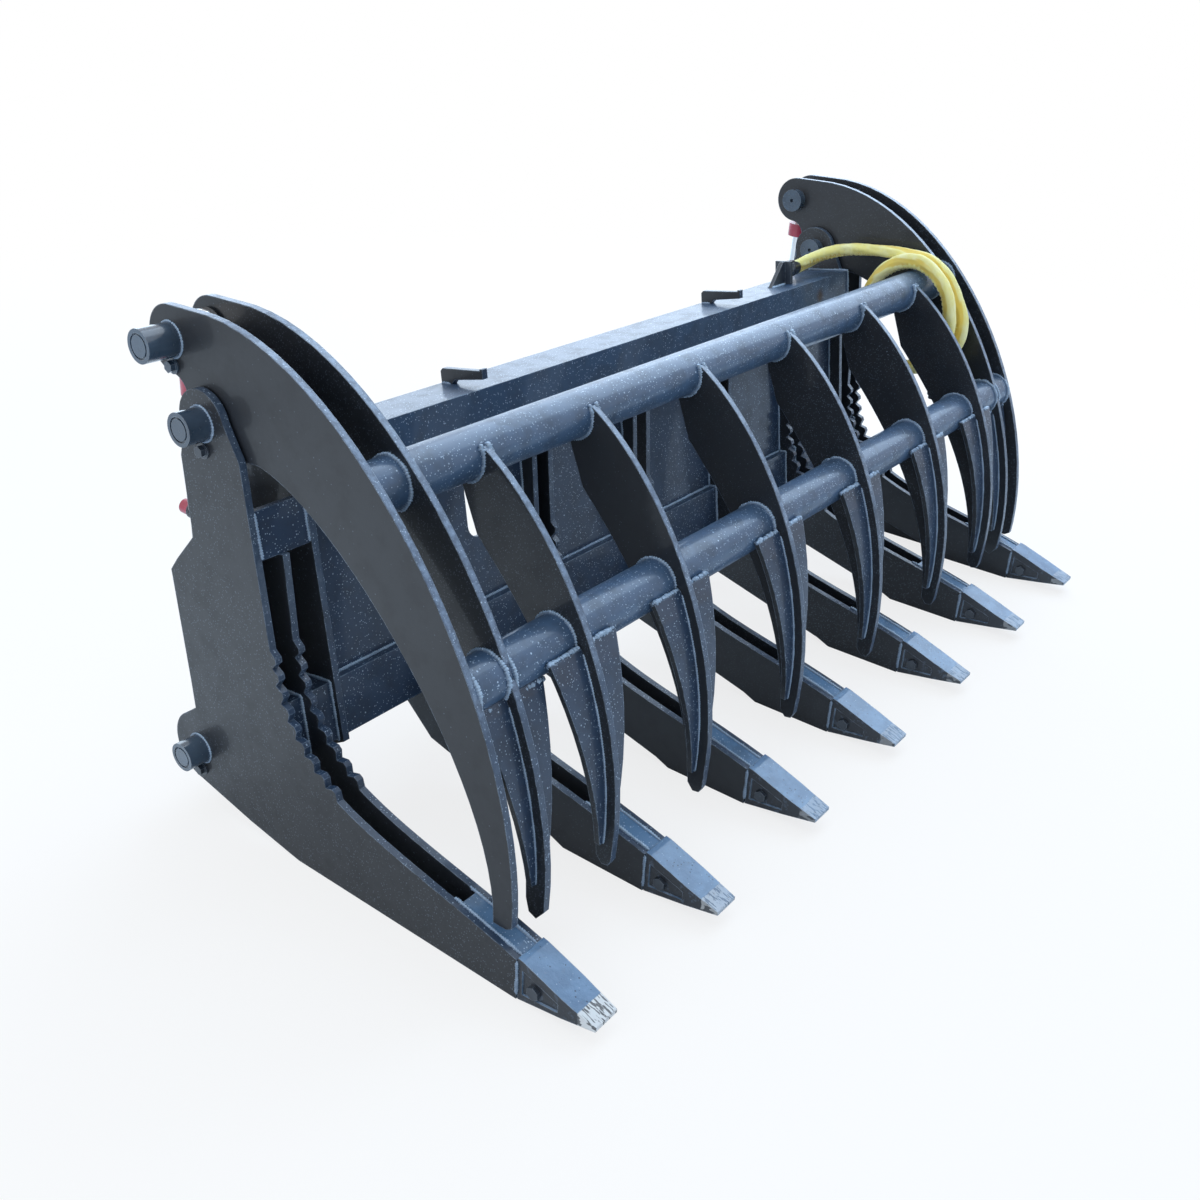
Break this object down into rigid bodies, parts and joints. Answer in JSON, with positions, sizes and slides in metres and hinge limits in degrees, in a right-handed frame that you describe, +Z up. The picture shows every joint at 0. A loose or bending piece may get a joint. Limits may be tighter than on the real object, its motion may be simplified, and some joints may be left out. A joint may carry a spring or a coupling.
{
  "type": "root rake grapple",
  "caption": "Loader-mounted root rake with twin-plate serrated tines, tooth caps, and a full-width curved grapple swung open by hydraulic cylinders.",
  "frame": {"origin": "on the ground, in the middle of the rake's footprint", "axes": "+X along the width, -Y the way the teeth point, +Z up"},
  "size_m": [1.956, 0.898, 0.8573],
  "materials": {
    "enamel": "gloss",
    "tooth_enamel": "gloss, worn at the tip",
    "pins": "satin",
    "fittings": "satin",
    "rod_chrome": "polished",
    "red_parts": "gloss",
    "hose_sleeve": "woven",
    "coupler_black": "satin"
  },
  "bodies": {
    "frame": {"side_plate_left": "enamel", "side_plate_right": "enamel", "lug_plate_left": "enamel", "lug_plate_right": "enamel", "inner_tine_plate_left": "enamel", "inner_tine_plate_right": "enamel", "tine_2": "enamel", "tine_3": "enamel", "tine_4": "enamel", "tine_5": "enamel", "tine_6": "enamel", "tine_noses": "enamel", "tooth_1": "tooth_enamel", "tooth_2": "tooth_enamel", "tooth_3": "tooth_enamel", "tooth_4": "tooth_enamel", "tooth_5": "tooth_enamel", "tooth_6": "tooth_enamel", "tooth_7": "tooth_enamel", "tooth_bolts": "fittings", "top_beam": "enamel", "lower_beam": "enamel", "back_panels": "enamel", "cross_plates": "enamel", "attach_plate_left": "enamel", "attach_plate_right": "enamel", "top_hooks": "enamel", "pivot_pin_left": "pins", "pivot_pin_right": "pins", "base_pin_left": "pins", "base_pin_right": "pins", "base_spacers": "pins", "keeper_bolts": "fittings", "hose_bulkhead": "fittings", "hose_run": "hose_sleeve"},
    "grapple": {"arm_outer_left": "enamel", "arm_outer_right": "enamel", "arm_inner_left": "enamel", "arm_inner_right": "enamel", "upper_tube": "enamel", "lower_tube": "enamel", "blade_1": "enamel", "blade_2": "enamel", "blade_3": "enamel", "blade_4": "enamel", "blade_5": "enamel", "blade_6": "enamel", "wing_plates": "enamel", "rod_pin_left": "pins", "rod_pin_right": "pins", "hose_loop": "hose_sleeve", "hose_couplers": "coupler_black"},
    "left_barrel": {"cylinder_barrel_left": "enamel", "port_plugs_left": "red_parts"},
    "left_rod": {"piston_rod_left": "rod_chrome", "stroke_collar_left": "red_parts"},
    "right_barrel": {"cylinder_barrel_right": "enamel", "port_plugs_right": "red_parts"},
    "right_rod": {"piston_rod_right": "rod_chrome", "stroke_collar_right": "red_parts"}
  },
  "joints": [
    {"name": "grapple_open", "type": "hinge", "parent": "frame", "child": "grapple", "pos_m": [0, 0.291, 0.703], "axis": [-1, 0, 0], "range_deg": [0, 78]},
    {"name": "left_barrel_tilt", "type": "hinge", "parent": "frame", "child": "left_barrel", "pos_m": [-0.8835, 0.385, 0.112], "axis": [-1, 0, 0], "range_deg": [0, 4.2]},
    {"name": "left_rod_slide", "type": "slide", "parent": "left_barrel", "child": "left_rod", "axis": [0, -0.0317, 0.9995], "range_m": [-0.1525, 0]},
    {"name": "right_barrel_tilt", "type": "hinge", "parent": "frame", "child": "right_barrel", "pos_m": [0.8835, 0.385, 0.112], "axis": [-1, 0, 0], "range_deg": [0, 4.2]},
    {"name": "right_rod_slide", "type": "slide", "parent": "right_barrel", "child": "right_rod", "axis": [0, -0.0317, 0.9995], "range_m": [-0.1525, 0]}
  ],
  "couplings": [
    {"joint": "left_barrel_tilt", "follows": "grapple_open", "ratio": 0.05267},
    {"joint": "left_rod_slide", "follows": "grapple_open", "m_per_rad": -0.11158},
    {"joint": "right_barrel_tilt", "follows": "grapple_open", "ratio": 0.05267},
    {"joint": "right_rod_slide", "follows": "grapple_open", "m_per_rad": -0.11158}
  ]
}
